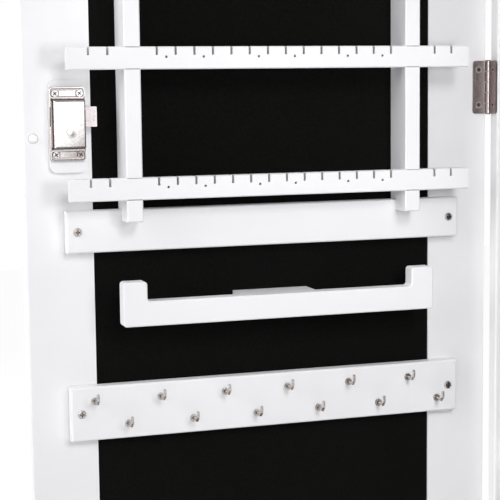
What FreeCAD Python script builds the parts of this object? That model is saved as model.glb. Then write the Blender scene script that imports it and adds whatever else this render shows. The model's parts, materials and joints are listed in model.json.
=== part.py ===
import FreeCAD, Part
import math
import os
import re

import Sketcher

# A wall-hung jewelry cabinet whose front is a mirror door, modelled with the door open by 90 degrees.
# Millimetres. Origin: centre of the back face, on the wall. +X right, +Z up, the front faces -Y.
# Door pieces are drawn in the door's own frame, which is the closed door seen from the cabinet's front:
# the hinge axis is its origin, x runs to the free edge, y into the cabinet. Each door piece then gets
# the door's placement, which turns that frame by the opening angle about the hinge axis.

doc = FreeCAD.newDocument("JewelryCabinet")

SIZES = [
    # the box on the wall
    ("cabinet_width", 370, "outside width of box and door"),
    ("cabinet_height", 1200, "outside height of box and door"),
    ("cabinet_depth", 75, "side panels, front to back"),
    ("board_thick", 12, "side, top and bottom panels"),
    ("back_thick", 5, "back board"),
    ("lining_thick", 2, "velvet lining on the back board"),
    ("edge_round", 1.5, "rounded outer edges"),
    ("small_round", 0.8, "softened edges of small white pieces"),
    ("hanging_height", 50, "hanging rail, height"),
    ("hanging_thick", 12, "hanging rail, thickness"),
    ("wall_hole_radius", 3, "hole for a wall screw"),
    ("wall_hole_in", 46, "wall hole, from the side panel"),
    # inside the box
    ("shelf_depth", 45, "shelf, front to back"),
    ("shelf_thick", 9, "shelf board"),
    ("shelf_low", 110, "top of lowest shelf above the underside"),
    ("shelf_pitch", 95, "shelf to shelf"),
    ("lip_height", 24, "front lip above the shelf's underside"),
    ("lip_thick", 6, "front lip"),
    ("necklace_rail_drop", 130, "top of the cabinet down to the rail's top"),
    ("necklace_rail_height", 40, "necklace rail, height"),
    ("necklace_rail_gap", 23, "necklace rail's end to the side panel"),
    ("necklace_hook_end", 24, "outer necklace hook, from the rail's end"),
    # door frame, glass and backing
    ("stile_width", 50, "door frame members, inner face"),
    ("frame_thick", 18, "door frame, thickness"),
    ("glass_lip", 5, "front lip that holds the mirror"),
    ("glass_lap", 8, "width of that lip"),
    ("sight_bevel", 2.5, "bevel along the mirror"),
    ("glass_thick", 4, "mirror glass"),
    ("backing_thick", 8, "velvet-covered backing panel"),
    ("fit_gap", 0.3, "air round glass, panel and bolt"),
    # hinges
    ("hinge_gap", 3.3, "closed door to side panel"),
    ("axis_out", 1.2, "hinge axis outside the side panel"),
    ("barrel_radius", 2.3, "knuckle, outside"),
    ("pin_radius", 1.1, "hinge pin"),
    ("pin_gap", 0.05, "running clearance of the pin"),
    ("leaf_thick", 1.4, "hinge leaf"),
    ("leaf_reach", 12.6, "axis to the leaf's free edge"),
    ("leaf_round", 2, "leaf corners"),
    ("hinge_length", 41.5, "hinge, end to end"),
    ("knuckle_gap", 0.35, "between neighbouring knuckles"),
    ("barrel_gap", 0.4, "leaf cut-out round the other barrel"),
    ("hinge_end", 120, "middle of an outer hinge, from the door's end"),
    ("hinge_screw_in", 7.9, "axis to the screws"),
    ("hinge_screw_half", 13.9, "screws, from the hinge's middle"),
    # uprights and racks
    ("post_in", 25.5, "post centre, from the stile"),
    ("post_width", 12, "post, across"),
    ("post_front", 27.4, "post front above the frame's inner face"),
    ("post_low", 94, "post foot below the door's middle"),
    ("post_lap", 8.2, "post over cross panel"),
    ("post_over", 48, "post above the highest rack"),
    ("panel_thick", 9, "cross panels, rails and racks"),
    ("panel_lap", 21.5, "cross panels and racks over the stiles"),
    ("panel_height", 31, "cross panel, height"),
    ("rack_height", 16.2, "earring rack, height"),
    ("rack_low", 61.8, "top of the lowest rack below the middle"),
    ("rack_pitch", 94, "rack to rack"),
    ("notch_pitch", 14.05, "notch to notch between the posts"),
    ("notch_width", 1.8, "notch for an earring or chain"),
    ("notch_depth", 6, "notch from the top edge"),
    ("end_notch", 14.85, "last notch, from the rack's end"),
    ("stud_radius", 1, "hole for an ear stud"),
    ("stud_drop", 7.3, "those holes below the top edge"),
    # bracelet bar and hook rail
    ("bar_low", 169.8, "bar's underside below the middle"),
    ("bar_height", 18.2, "bar, height"),
    ("bar_rise", 14.5, "ends above the bar"),
    ("bar_end", 18, "width of those ends"),
    ("bar_gap", 12.3, "bar's end to the stile, both sides on average"),
    ("bar_thick", 12, "bar, front to back"),
    ("bar_front", 32, "bar front above the inner face"),
    ("bar_shift", 2, "bar off the middle, to the hinge side"),
    ("bar_round", 2.5, "bar corners"),
    ("block_half", 29.7, "spacer block behind the bar, half length"),
    ("block_height", 17, "spacer block, height"),
    ("hook_rail_mid", 236.5, "hook rail below the middle"),
    ("hook_rail_height", 40.6, "hook rail, height"),
    ("hook_end", 17.9, "outer hook, from the rail's end"),
    ("hook_row_half", 9.3, "hook rows, from the rail's middle"),
    ("hook_reach", 13, "hook out of its rail"),
    ("hook_rise", 7.5, "hook tip above its shank"),
    ("hook_bend", 2.2, "bend of the hook"),
    ("hook_wire", 1, "hook wire, radius"),
    ("collar_radius", 2.8, "hook collar"),
    ("collar_thick", 0.9, "hook collar"),
    ("panel_screw_in", 8, "panel screws, from the panel's end"),
    # lock
    ("lock_in", 32, "lock centre, from the free edge"),
    ("lock_level", 22.7, "lock centre below the middle"),
    ("packer_width", 26.4, "packer plate"),
    ("packer_height", 67, "packer plate"),
    ("packer_thick", 3, "packer plate"),
    ("packer_round", 5, "packer plate corners"),
    ("packer_drop", 1.8, "packer centre below the lock's"),
    ("case_width", 26, "lock case"),
    ("case_height", 53.5, "lock case with flanges"),
    ("case_flange", 1.6, "flange"),
    ("case_round", 2.5, "flange corners"),
    ("cover_width", 23, "raised cover"),
    ("cover_shift", 0.8, "cover off the case's centre, to the bolt's side"),
    ("cover_height", 34.5, "raised cover"),
    ("cover_rise", 6, "cover above the flanges"),
    ("cover_bevel", 1.2, "bevelled edge of the cover"),
    ("rib_half", 6, "pressed bar of a flange, half length"),
    ("rib_height", 4, "pressed bar, height"),
    ("rib_rise", 0.7, "pressed bar, rise"),
    ("rivet_radius", 1.3, "rivet of the cover"),
    ("rivet_drop", 5.7, "rivet below the lock's centre"),
    ("rivet_rise", 1, "rivet, rise"),
    ("lock_screw_side", 9, "lock screws, from the centre line"),
    ("lock_screw_up", 22.1, "lock screws, from the centre"),
    ("barrel_out", 9, "lock barrel through the stile"),
    ("plug_radius", 6, "keyed plug"),
    ("plug_gap", 0.05, "running clearance of the plug"),
    ("key_slot_width", 1.8, "key slot"),
    ("key_slot_height", 8, "key slot"),
    ("key_slot_depth", 10, "key slot"),
    ("escutcheon_radius", 12.5, "ring on the mirror side"),
    ("escutcheon_thick", 1.6, "ring on the mirror side"),
    ("bolt_height", 14.5, "lock bolt"),
    ("bolt_thick", 4, "lock bolt"),
    ("bolt_out", 8.7, "thrown bolt beyond the cover"),
    ("bolt_travel", 7, "throw of the bolt"),
    ("bolt_inside", 10, "bolt left inside the case when thrown"),
    ("bolt_up", 5.2, "bolt above the lock's centre"),
    ("bolt_lift", 0.5, "bolt above the flanges"),
    ("bolt_round", 0.8, "corners of the bolt"),
    # strike bracket in the box
    ("strike_thick", 1.6, "steel strip"),
    ("strike_height", 26, "strip, height"),
    ("strike_play", 1.2, "slot round the bolt"),
    ("strike_lip", 2, "steel in front of the slot"),
    ("strike_clear", 3, "strip behind the lock case"),
    ("strike_foot", 20, "foot on the side panel"),
    # fasteners and bumpers
    ("screw_shank", 1.3, "screws, radius"),
    ("screw_gap", 0.05, "hole round a screw"),
    ("screw_length", 9, "screws below the head"),
    ("hinge_head", 2.5, "countersunk head of a hinge screw"),
    ("lock_head", 2.4, "pan head of a lock screw"),
    ("panel_head", 3.2, "pan head of a panel screw"),
    ("head_rise", 1.1, "pan head, height"),
    ("recess_width", 0.9, "cross recess, arm width"),
    ("bumper_radius", 3.4, "door bumper"),
    ("bumper_rise", 2.8, "door bumper"),
    ("bumper_in", 7.4, "bumper, from the free edge"),
    ("bumper_low", 32.9, "middle bumper below the middle"),
    ("bumper_end", 40, "outer bumpers, from the door's ends"),
]

OPEN_ANGLE = -90
HINGE_LEVELS = {"bottom": -1, "middle": 0, "top": 1}
KNUCKLES = 5
SHELVES = 3
STUD_STEPS = (6, 4, 1)
NECKLACE_HOOKS = 10
DOOR_HOOKS = 6
SIDES = 8
TOUCH = 0.1
Z_AXIS = FreeCAD.Vector(0, 0, 1)
CUTS = {"XY_Plane": 1, "XZ_Plane": -1, "YZ_Plane": 1}


def fill_sheet():
    """Write every driving size into the sheet, one row each, under its alias."""
    table = doc.addObject("Spreadsheet::Sheet", "Sizes")
    for row, (alias, number, note) in enumerate(SIZES, start=1):
        table.set(f"A{row}", alias)
        table.set(f"B{row}", str(number))
        table.set(f"C{row}", note)
        table.setAlias(f"B{row}", alias)
    doc.recompute()
    return table


sheet = fill_sheet()
ALIASES = {alias for alias, number, note in SIZES}


def size(alias):
    """The number that the sheet holds under an alias."""
    return float(getattr(sheet, alias))


def bound(text):
    """Turn the sheet's aliases in a formula into references to its cells."""
    return re.sub(r"[a-z_]+", lambda word: f"Sizes.{word[0]}" if word[0] in ALIASES else word[0], text)


def number(text):
    """The value of a formula of the sheet's sizes."""
    return float(sheet.evalExpression(bound(text)))


# Places that many pieces share, as formulas of the sheet's sizes.
HALF_WIDE = "(cabinet_width / 2)"
HALF_HIGH = "(cabinet_height / 2)"
INNER_HALF = "(cabinet_width / 2 - board_thick)"
INNER_HIGH = "(cabinet_height / 2 - board_thick)"
LINING_FACE = "(-back_thick - lining_thick)"
AXIS_X = "(-cabinet_width / 2 - axis_out)"
AXIS_Y = "(-cabinet_depth - hinge_gap / 2)"
# In the door's own frame:
DOOR_EDGE = "axis_out"
DOOR_MID = "(axis_out + cabinet_width / 2)"
DOOR_FACE = "(-hinge_gap / 2)"
DOOR_FRONT = "(-hinge_gap / 2 - frame_thick)"
BACKING_FACE = "(-hinge_gap / 2 - frame_thick + glass_lip + glass_thick + backing_thick)"
POST_FACE = "(-hinge_gap / 2 + post_front)"
LOCK_X = "(axis_out + cabinet_width - lock_in)"
PACKER_FACE = "(-hinge_gap / 2 + packer_thick)"
FLANGE_FACE = "(-hinge_gap / 2 + packer_thick + case_flange)"
COVER_FACE = "(-hinge_gap / 2 + packer_thick + case_flange + cover_rise)"
BOLT_Z = "(bolt_up - lock_level)"
BOLT_Y = "(-hinge_gap / 2 + packer_thick + case_flange + bolt_lift)"
COVER_SIDE = "(axis_out + cabinet_width - lock_in - cover_shift - cover_width / 2)"
HINGE_OFFSET = "(cabinet_height / 2 - hinge_end)"
PANEL_HALF = "(cabinet_width / 2 - stile_width + panel_lap)"
PANEL_SCREW = "(cabinet_width / 2 - stile_width + panel_lap - panel_screw_in)"
POST_HALF = "(cabinet_width / 2 - stile_width - post_in)"
BAR_HALF = "(cabinet_width / 2 - stile_width - bar_gap)"
NECKLACE_HALF = "(cabinet_width / 2 - board_thick - necklace_rail_gap)"
NECKLACE_PITCH = f"(2 * ({NECKLACE_HALF} - necklace_hook_end) / {NECKLACE_HOOKS - 1})"
HOOK_PITCH = f"(2 * ({PANEL_HALF} - hook_end) / {DOOR_HOOKS - 0.5})"
# As many racks and notches as the door has room for.
RACK_ROOM = "(cabinet_height / 2 - stile_width + rack_low - post_over - panel_height)"
RACKS = 1 + int(number(f"{RACK_ROOM} / rack_pitch"))
NOTCHES = 2 * int(number(f"({POST_HALF} - post_width / 2) / notch_pitch"))
POST_TOP = f"(-rack_low + rack_pitch * {RACKS - 1} + post_over)"


def new_body(label, in_door=False, level="0"):
    """An empty body with its place: in the box's frame, or in the frame of the open door."""
    body = doc.addObject("PartDesign::Body", label)
    body.Label = label
    place(body, in_door, level)
    return body


def place(thing, in_door, level="0"):
    """Give a piece its place in the box, or the open door's placement, raised by level."""
    turn = FreeCAD.Rotation(Z_AXIS, OPEN_ANGLE) if in_door else FreeCAD.Rotation()
    thing.Placement = FreeCAD.Placement(FreeCAD.Vector(), turn)
    if in_door:
        thing.setExpression("Placement.Base.x", bound(AXIS_X))
        thing.setExpression("Placement.Base.y", bound(AXIS_Y))
    thing.setExpression("Placement.Base.z", bound(level))


def copy_of(original, label, in_door, level):
    """Another piece with the shape of a finished body, at its own level."""
    feature = doc.addObject("Part::Feature", label)
    feature.Label = label
    feature.Shape = Part.makeCompound([original.Tip.Shape])
    place(feature, in_door, level)
    return feature


def new_sketch(body, plane, level):
    """A sketch on one of the body's own planes, moved out to level along the plane's world axis."""
    sketch = body.newObject("Sketcher::SketchObject", f"{body.Name}_sketch")
    support = [item for item in body.Origin.OriginFeatures if item.Role == plane][0]
    sketch.AttachmentSupport = [(support, "")]
    sketch.MapMode = "FlatFace"
    sign = "-" if plane == "XZ_Plane" else ""
    sketch.setExpression("AttachmentOffset.Base.z", bound(f"{sign}({level})"))
    return sketch


def point_rules(shape, point, place):
    """The constraints that fix one point of a sketch at two formulas, each with its formula."""
    rules = []
    for kind, text, axis in (("DistanceX", place[0], -2), ("DistanceY", place[1], -1)):
        if text == "0":
            rules.append((Sketcher.Constraint("PointOnObject", shape, point, axis), ""))
        else:
            rules.append((Sketcher.Constraint(kind, -1, 1, shape, point, 1.0), text))
    return rules


def add_rules(sketch, rules):
    """Add constraints in one go and bind those that have a formula."""
    indices = sketch.addConstraint([rule for rule, text in rules])
    for index, (rule, text) in zip(indices, rules):
        if text:
            sketch.setExpression(f"Constraints[{index}]", bound(text))


def add_outline(sketch, corners):
    """A closed run of straight lines through corners, each bound to its formulas."""
    first = sketch.GeometryCount
    count = len(corners)
    ring = [2 * math.pi * step / count for step in range(count + 1)]
    points = [FreeCAD.Vector(math.cos(turn), math.sin(turn), 0) for turn in ring]
    sketch.addGeometry([Part.LineSegment(points[step], points[step + 1]) for step in range(count)], False)
    rules = [(Sketcher.Constraint("Coincident", first + step, 2, first + (step + 1) % count, 1), "")
             for step in range(count)]
    for step, corner in enumerate(corners):
        rules += point_rules(first + step, 1, corner)
    add_rules(sketch, rules)


def add_rectangle(sketch, low_x, high_x, low_y, high_y):
    add_outline(sketch, [(low_x, low_y), (high_x, low_y), (high_x, high_y), (low_x, high_y)])


def add_circle(sketch, centre_x, centre_y, radius):
    """A circle whose centre and radius are bound to formulas."""
    index = sketch.addGeometry(Part.Circle(FreeCAD.Vector(1, 1, 0), Z_AXIS, 1), False)
    rules = point_rules(index, 3, (centre_x, centre_y))
    rules.append((Sketcher.Constraint("Radius", index, 1.0), radius))
    add_rules(sketch, rules)


def pad(body, sketch, plane, length, towards=1):
    """Grow the sketch into the body, towards the plus or minus end of the plane's world axis."""
    feature = body.newObject("PartDesign::Pad", f"{body.Name}_pad")
    feature.Profile = sketch
    feature.setExpression("Length", bound(length))
    feature.Reversed = CUTS[plane] != towards
    doc.recompute()
    return feature


def pocket(body, sketch, plane, length, towards=-1):
    """Cut the sketch out of the body in one direction, and make sure that something was cut."""
    before = body.Tip.Shape.Volume
    feature = body.newObject("PartDesign::Pocket", f"{body.Name}_pocket")
    feature.Profile = sketch
    feature.setExpression("Length", bound(length))
    feature.Reversed = CUTS[plane] == towards
    doc.recompute()
    if not feature.Shape.Volume < before:
        raise ValueError(f"{body.Label}: a pocket cuts nothing")
    return feature


def repeat(body, feature, sketch, axis, step, count):
    """Repeat a feature count times along an axis of its sketch, step apart."""
    pattern = body.newObject("PartDesign::LinearPattern", f"{body.Name}_row")
    pattern.Originals = [feature]
    pattern.Direction = (sketch, [axis])
    pattern.setExpression("Length", bound(f"({step}) * {count - 1}"))
    pattern.Occurrences = count
    body.Tip = pattern
    doc.recompute()
    return pattern


def soften(body, radius, choose, kind="Fillet"):
    """Round or bevel the edges of the body's last feature that choose picks."""
    base = body.Tip
    edges = [f"Edge{index}" for index, edge in enumerate(base.Shape.Edges, start=1) if choose(edge)]
    if not edges:
        raise ValueError(f"{body.Label}: no edge to soften")
    feature = body.newObject(f"PartDesign::{kind}", f"{body.Name}_edge")
    feature.Base = (base, edges)
    feature.setExpression("Radius" if kind == "Fillet" else "Size", bound(radius))
    doc.recompute()
    return feature


def runs_along(edge, axis):
    """Whether an edge is a straight line along X, Y or Z."""
    if not isinstance(edge.Curve, Part.Line):
        return False
    return abs(getattr(edge.Curve.Direction, axis)) > 0.999


def is_rim(edge, radius):
    """Whether an edge is one flat of a small bore."""
    flat = 2 * radius * math.sin(math.pi / SIDES)
    return isinstance(edge.Curve, Part.Line) and abs(edge.Length - flat) < 0.001


def middle(edge, axis):
    """The middle of an edge's box along one axis."""
    box = edge.BoundBox
    return {"x": box.XMin + box.XMax, "y": box.YMin + box.YMax, "z": box.ZMin + box.ZMax}[axis] / 2


def board(label, x_range, y_range, z_range, in_door=False, level="0"):
    """A rectangular board between three pairs of formulas."""
    body = new_body(label, in_door, level)
    sketch = new_sketch(body, "XZ_Plane", y_range[1])
    add_rectangle(sketch, x_range[0], x_range[1], z_range[0], z_range[1])
    pad(body, sketch, "XZ_Plane", f"({y_range[1]}) - ({y_range[0]})", towards=-1)
    return body


def flats():
    """Where the corners of a small round thing lie round its centre, since it is drawn with few flats."""
    turns = [2 * math.pi * (step + 0.5) / SIDES for step in range(SIDES)]
    return [(round(math.cos(turn), 6), round(math.sin(turn), 6)) for turn in turns]


def drill(body, plane, level, centres, radius, depth, towards):
    """Small holes with flats, for screws and studs, from a level into the body."""
    sketch = new_sketch(body, plane, level)
    for centre_x, centre_y in centres:
        add_outline(sketch, [(f"{centre_x} + ({radius}) * {part_x}", f"{centre_y} + ({radius}) * {part_y}")
                             for part_x, part_y in flats()])
    return pocket(body, sketch, plane, depth, towards)


def bore(body, plane, level, centres, radius, depth, towards):
    """Round holes of one radius from a level into the body."""
    sketch = new_sketch(body, plane, level)
    for centre_x, centre_y in centres:
        add_circle(sketch, centre_x, centre_y, radius)
    return pocket(body, sketch, plane, depth, towards)


WALL_HOLES = [(f"{side}({INNER_HALF} - wall_hole_in)", f"{end}({INNER_HIGH} - hanging_height / 2)")
              for side in ("", "-") for end in ("", "-")]
SCREW_HOLE = "screw_shank + screw_gap"
HINGE_SCREW_LEVELS = [f"{HINGE_OFFSET} * {place} {side} hinge_screw_half"
                      for place in HINGE_LEVELS.values() for side in "+-"]


# ---------------------------------------------------------------- the box on the wall

def make_side_panel(label, side):
    """A side panel, rounded along its front edge; the one at the hinges is drilled for their screws."""
    outer = f"{side} * {HALF_WIDE}"
    inner = f"{side} * {INNER_HALF}"
    body = new_body(label)
    sketch = new_sketch(body, "XY_Plane", f"-{HALF_HIGH}")
    corners = [(inner, "-cabinet_depth"), (outer, "-cabinet_depth"), (outer, "0"), (inner, "0")]
    add_outline(sketch, corners)
    pad(body, sketch, "XY_Plane", "cabinet_height")
    front = -size("cabinet_depth")
    soften(body, "edge_round", lambda edge: runs_along(edge, "z") and middle(edge, "y") < front + TOUCH)
    if side < 0:
        screw_x = f"({AXIS_X} + hinge_screw_in)"
        centres = [(screw_x, level) for level in HINGE_SCREW_LEVELS]
        drill(body, "XZ_Plane", "-cabinet_depth", centres, SCREW_HOLE, "screw_length", towards=1)
    else:
        centres = [(STRIKE_SCREW_Y, f"{BOLT_Z} {turn} strike_height / 4") for turn in "+-"]
        drill(body, "YZ_Plane", inner, centres, SCREW_HOLE, "screw_length", towards=1)
    return body


def make_end_panel(label, side):
    """The top or bottom panel between the side panels."""
    inner = f"{side} * {INNER_HIGH}"
    outer = f"{side} * {HALF_HIGH}"
    ends = (inner, outer) if side > 0 else (outer, inner)
    body = board(label, (f"-{INNER_HALF}", INNER_HALF), ("-cabinet_depth", "0"), ends)
    front = -size("cabinet_depth")
    soften(body, "edge_round", lambda edge: runs_along(edge, "x") and middle(edge, "y") < front + TOUCH)
    return body


def make_back():
    """Back board and its velvet lining, drilled for the wall screws behind the hanging rails."""
    back = board("back_board", (f"-{INNER_HALF}", INNER_HALF), ("-back_thick", "0"),
                 (f"-{INNER_HIGH}", INNER_HIGH))
    bore(back, "XZ_Plane", "0", WALL_HOLES, "wall_hole_radius", "back_thick", towards=-1)
    rail_edge = f"({INNER_HIGH} - hanging_height)"
    board("velvet_lining", (f"-{INNER_HALF}", INNER_HALF), (LINING_FACE, "-back_thick"),
          (f"-{rail_edge}", rail_edge))


def make_hanging_rail(label, side):
    """A rail between the side panels that the wall screws go through."""
    near = f"{side} * ({INNER_HIGH} - hanging_height)"
    far = f"{side} * {INNER_HIGH}"
    ends = (near, far) if side > 0 else (far, near)
    rail = board(label, (f"-{INNER_HALF}", INNER_HALF), ("-back_thick - hanging_thick", "-back_thick"), ends)
    centres = [hole for hole in WALL_HOLES if hole[1].startswith("-") == (side < 0)]
    bore(rail, "XZ_Plane", "-back_thick", centres, "wall_hole_radius", "hanging_thick", towards=-1)
    return rail


def make_shelf(index):
    """A shelf against the lining, with a lip along its front."""
    level = f"-{HALF_HIGH} + shelf_low + shelf_pitch * {index}"
    shelf_front = f"({LINING_FACE} - shelf_depth)"
    wide = (f"-{INNER_HALF}", INNER_HALF)
    board(f"shelf_{index + 1}", wide, (shelf_front, LINING_FACE), ("-shelf_thick", "0"), level=level)
    lip = board(f"shelf_lip_{index + 1}", wide, (f"{shelf_front} - lip_thick", shelf_front),
                ("-shelf_thick", "lip_height - shelf_thick"), level=level)
    top = size("lip_height") - size("shelf_thick")
    soften(lip, "edge_round", lambda edge: runs_along(edge, "x") and middle(edge, "z") > top - TOUCH)


NECKLACE_LEVEL = f"({HALF_HIGH} - necklace_rail_drop - necklace_rail_height / 2)"


def make_necklace_rail():
    """The rail on the lining that carries the necklace hooks."""
    rail = board("necklace_rail", (f"-{NECKLACE_HALF}", NECKLACE_HALF),
                 (f"{LINING_FACE} - panel_thick", LINING_FACE),
                 ("-necklace_rail_height / 2", "necklace_rail_height / 2"), level=NECKLACE_LEVEL)
    front = number(f"{LINING_FACE} - panel_thick")
    soften(rail, "edge_round", lambda edge: middle(edge, "y") < front + TOUCH)


def hook_places(count):
    """Evenly spaced places about the middle, in steps of one pitch."""
    return [index - (count - 1) / 2 for index in range(count)]


STRIKE_X = f"({AXIS_X} + {COVER_SIDE} - bolt_out / 2)"
STRIKE_BACK = f"({AXIS_Y} + {COVER_FACE} + rivet_rise + strike_clear)"
STRIKE_SLOT_LOW = f"({AXIS_Y} + {BOLT_Y} - strike_play)"
STRIKE_FRONT = f"({AXIS_Y} + {BOLT_Y} - strike_play - strike_lip)"
STRIKE_SCREW_Y = f"({STRIKE_BACK} + strike_thick + strike_foot * 0.6)"


def make_strike():
    """The bent strip that takes the bolt: foot on the side panel, web behind the lock, slotted tab."""
    body = new_body("strike_bracket")
    sketch = new_sketch(body, "XY_Plane", f"{BOLT_Z} - strike_height / 2")
    tab_out = f"({STRIKE_X} - strike_thick / 2)"
    tab_in = f"({STRIKE_X} + strike_thick / 2)"
    foot_in = f"({INNER_HALF} - strike_thick)"
    web_back = f"({STRIKE_BACK} + strike_thick)"
    foot_end = f"({web_back} + strike_foot)"
    add_outline(sketch, [
        (tab_out, STRIKE_FRONT), (tab_in, STRIKE_FRONT), (tab_in, STRIKE_BACK), (INNER_HALF, STRIKE_BACK),
        (INNER_HALF, foot_end), (foot_in, foot_end), (foot_in, web_back), (tab_out, web_back)])
    pad(body, sketch, "XY_Plane", "strike_height")
    slot = new_sketch(body, "YZ_Plane", tab_out)
    add_rectangle(slot, STRIKE_SLOT_LOW, f"{AXIS_Y} + {BOLT_Y} + bolt_thick + strike_play",
                  f"{BOLT_Z} - bolt_height / 2 - strike_play", f"{BOLT_Z} + bolt_height / 2 + strike_play")
    pocket(body, slot, "YZ_Plane", "strike_thick * 2", towards=1)
    centres = [(STRIKE_SCREW_Y, f"{BOLT_Z} {turn} strike_height / 4") for turn in "+-"]
    drill(body, "YZ_Plane", foot_in, centres, SCREW_HOLE, "strike_thick", towards=1)


# ---------------------------------------------------------------- door frame, glass, backing

SIGHT = "(stile_width + glass_lap)"


def make_frame_member(label, upright, side):
    """A mitred frame member: lip and bevel along the mirror, rebate for glass and backing."""
    span = HALF_WIDE if upright else HALF_HIGH
    run = HALF_HIGH if upright else HALF_WIDE
    middle_text = DOOR_MID if upright else "0"

    def across(inwards):
        return f"{middle_text} + {side} * ({span} - ({inwards}))"

    rebate = f"({DOOR_FRONT} + glass_lip)"
    profile = [("0", DOOR_FACE), ("stile_width", DOOR_FACE), ("stile_width", rebate), (SIGHT, rebate),
               (SIGHT, f"{DOOR_FRONT} + sight_bevel"), (f"{SIGHT} - 2 * sight_bevel", DOOR_FRONT),
               ("0", DOOR_FRONT)]
    plane = "XY_Plane" if upright else "YZ_Plane"
    start = f"-{HALF_HIGH}" if upright else DOOR_EDGE
    body = new_body(label, in_door=True)
    sketch = new_sketch(body, plane, start)
    if upright:
        add_outline(sketch, [(across(inwards), depth) for inwards, depth in profile])
    else:
        add_outline(sketch, [(depth, across(inwards)) for inwards, depth in profile])
    pad(body, sketch, plane, f"2 * {run}")
    cut_mitres(body, upright, side)
    outer = number(across("0"))
    axis, along = ("x", "z") if upright else ("z", "x")
    soften(body, "edge_round",
           lambda edge: runs_along(edge, along) and abs(middle(edge, axis) - outer) < TOUCH)
    return body


def cut_mitres(body, upright, side):
    """Cut both ends of a member back at 45 degrees from its outer corners."""
    sketch = new_sketch(body, "XZ_Plane", DOOR_FACE)
    for end in (-1, 1):
        if upright:
            edge_x = f"{DOOR_MID} + {side} * {HALF_WIDE}"
            edge_z = f"{end} * {HALF_HIGH}"
            inner_x = f"{DOOR_MID} + {side} * ({HALF_WIDE} - {SIGHT})"
            inner_z = f"{end} * ({HALF_HIGH} - {SIGHT})"
            add_outline(sketch, [(edge_x, edge_z), (inner_x, edge_z), (inner_x, inner_z)])
        else:
            edge_x = f"{DOOR_MID} + {end} * {HALF_WIDE}"
            edge_z = f"{side} * {HALF_HIGH}"
            inner_x = f"{DOOR_MID} + {end} * ({HALF_WIDE} - {SIGHT})"
            inner_z = f"{side} * ({HALF_HIGH} - {SIGHT})"
            add_outline(sketch, [(edge_x, edge_z), (edge_x, inner_z), (inner_x, inner_z)])
    pocket(body, sketch, "XZ_Plane", "frame_thick", towards=-1)


def make_infill():
    """Mirror glass behind the frame's lip, and the velvet-covered backing behind the glass."""
    wide = (f"{DOOR_MID} - ({HALF_WIDE} - stile_width - fit_gap)",
            f"{DOOR_MID} + ({HALF_WIDE} - stile_width - fit_gap)")
    high = (f"-({HALF_HIGH} - stile_width - fit_gap)", f"{HALF_HIGH} - stile_width - fit_gap")
    glass_back = f"({DOOR_FRONT} + glass_lip + glass_thick)"
    board("mirror_glass", wide, (f"{DOOR_FRONT} + glass_lip", glass_back), high, in_door=True)
    board("backing_panel", wide, (glass_back, BACKING_FACE), high, in_door=True)


def drill_stiles(lock_stile, hinge_stile):
    """Screw holes in the stiles, and the bore for the lock barrel."""
    for stile, side in ((lock_stile, "+"), (hinge_stile, "-")):
        centres = [(f"{DOOR_MID} {side} {PANEL_SCREW}", level) for level in PANEL_SCREW_LEVELS]
        drill(stile, "XZ_Plane", DOOR_FACE, centres, SCREW_HOLE, "screw_length - head_rise", towards=-1)
    centres = [("hinge_screw_in", level) for level in HINGE_SCREW_LEVELS]
    drill(hinge_stile, "XZ_Plane", DOOR_FACE, centres, SCREW_HOLE, "screw_length", towards=-1)
    centres = lock_screw_places()
    drill(lock_stile, "XZ_Plane", DOOR_FACE, centres, SCREW_HOLE, "screw_length", towards=-1)
    bore(lock_stile, "XZ_Plane", DOOR_FACE, [(LOCK_X, "-lock_level")], "barrel_out + fit_gap",
         "frame_thick", towards=-1)


# ---------------------------------------------------------------- what the door carries

LOW_PANEL = "(-post_low + post_lap - panel_height / 2)"
HIGH_PANEL = f"({POST_TOP} - post_lap + panel_height / 2)"
HOOK_RAIL = "(-hook_rail_mid)"
PANEL_SCREW_LEVELS = (LOW_PANEL, HIGH_PANEL, HOOK_RAIL)


def make_cross_panel(label, level, height):
    """A panel that lies on both stiles, rounded at the front, with a screw hole near each end."""
    body = board(label, (f"{DOOR_MID} - {PANEL_HALF}", f"{DOOR_MID} + {PANEL_HALF}"),
                 (DOOR_FACE, f"{DOOR_FACE} + panel_thick"), (f"-{height} / 2", f"{height} / 2"),
                 in_door=True, level=level)
    front = number(f"{DOOR_FACE} + panel_thick")
    soften(body, "edge_round", lambda edge: middle(edge, "y") > front - TOUCH)
    centres = [(f"{DOOR_MID} {side} {PANEL_SCREW}", "0") for side in "+-"]
    drill(body, "XZ_Plane", f"{DOOR_FACE} + panel_thick", centres, SCREW_HOLE, "panel_thick", towards=-1)
    return body


def door_hook_places():
    """Two rows of hooks, the lower one half a pitch towards the free edge's other side."""
    places = []
    for row, shift in ((1, 0.25), (-1, -0.25)):
        for place in hook_places(DOOR_HOOKS):
            places.append((f"{DOOR_MID} + {HOOK_PITCH} * ({place} + {shift})", f"{row} * hook_row_half"))
    return places


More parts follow.
